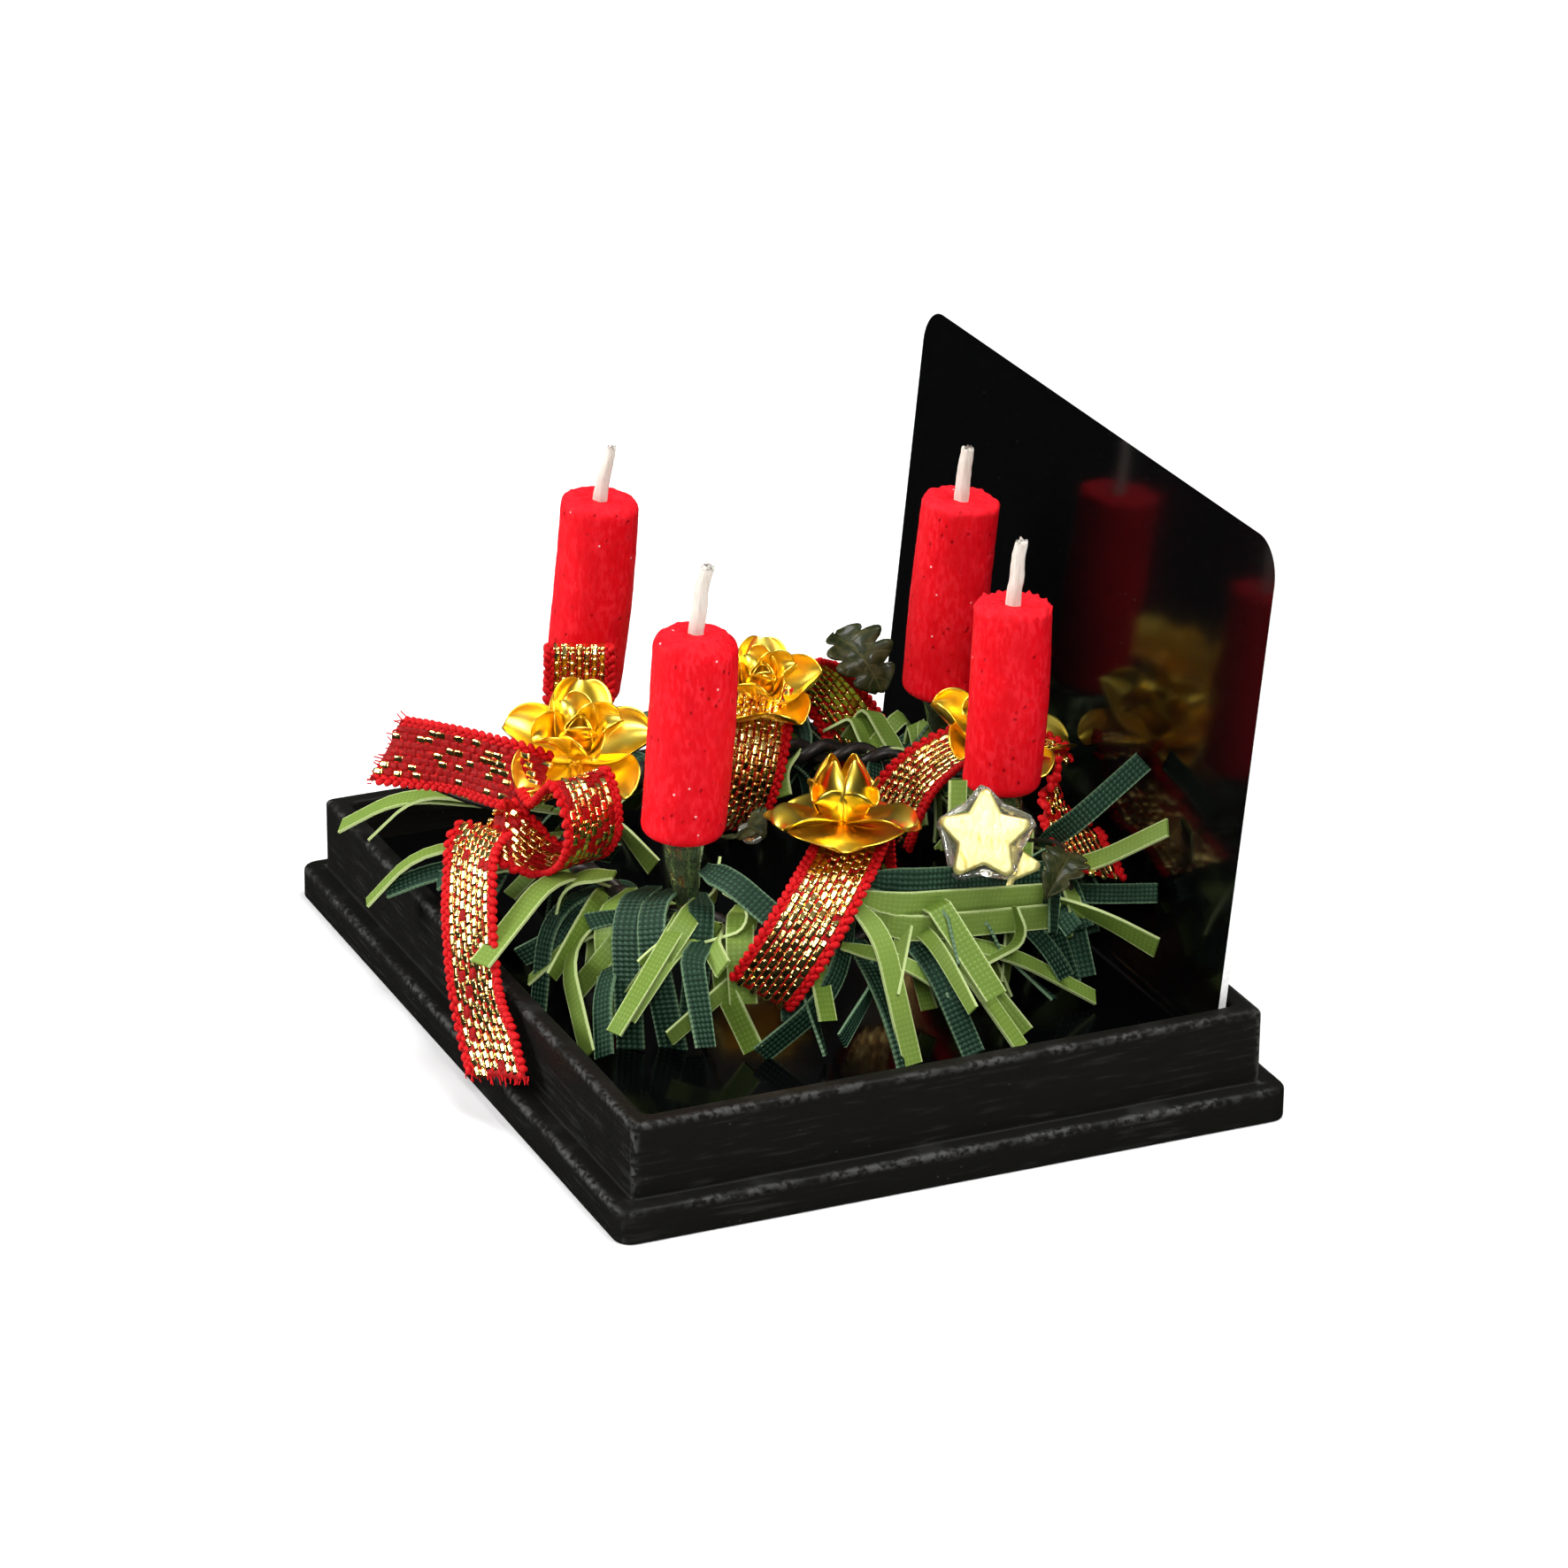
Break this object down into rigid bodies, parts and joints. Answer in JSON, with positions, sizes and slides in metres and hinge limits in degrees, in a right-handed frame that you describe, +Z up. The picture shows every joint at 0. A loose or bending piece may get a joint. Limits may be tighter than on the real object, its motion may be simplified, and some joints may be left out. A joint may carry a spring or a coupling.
{
  "type": "miniature advent wreath in a display tray",
  "caption": "Dollhouse advent wreath: red candles, gold foil roses, a ribbon bow and stars on a ring of cut green needles, in a stepped black tray with an upright folded card.",
  "frame": {"origin": "middle of the tray's flat underside", "axes": "+Z up, +X along the tray's long side, +Y towards the upright card, which stands at the back"},
  "size_m": [0.0404, 0.0335, 0.0263],
  "materials": {
    "tray_plastic": "moulded black, satin, with dust and grey worn edges",
    "card_board": "gloss coated black faces, white cut edge",
    "candle_wax": "red wax, matte with fine pits",
    "wick_cotton": "off-white twisted cotton",
    "needle_dark": "dark bluish green strip, embossed net",
    "needle_light": "light green strip, pale cut edges",
    "rose_foil": "polished gold foil",
    "ribbon_lurex": "red ribbon woven with gold lurex",
    "star_gold": "pale gold, metallised",
    "glue_clear": "clear hot glue",
    "holly_green": "glossy dark leaf, glue on its face"
  },
  "bodies": {
    "root": {"tray": "tray_plastic", "card": "card_board", "candle_1": "candle_wax", "candle_2": "candle_wax", "candle_3": "candle_wax", "candle_4": "candle_wax", "wick_1": "wick_cotton", "wick_2": "wick_cotton", "wick_3": "wick_cotton", "wick_4": "wick_cotton", "glue_seat_1": "glue_clear", "glue_seat_2": "glue_clear", "glue_seat_3": "glue_clear", "glue_seat_4": "glue_clear", "garland_1": "needle_dark", "garland_2": "needle_light", "garland_3": "needle_dark", "garland_4": "needle_light", "garland_5": "needle_dark", "garland_6": "needle_light", "garland_7": "needle_dark", "garland_8": "needle_light", "rose_1": "rose_foil", "rose_2": "rose_foil", "rose_3": "rose_foil", "rose_4": "rose_foil", "ribbon_band_1": "ribbon_lurex", "ribbon_band_2": "ribbon_lurex", "ribbon_band_3": "ribbon_lurex", "bow": "ribbon_lurex", "star_1": "star_gold", "star_2": "star_gold", "star_glue": "glue_clear", "holly_leaf_1": "holly_green", "holly_leaf_2": "holly_green", "holly_leaf_3": "holly_green"}
  },
  "joints": []
}
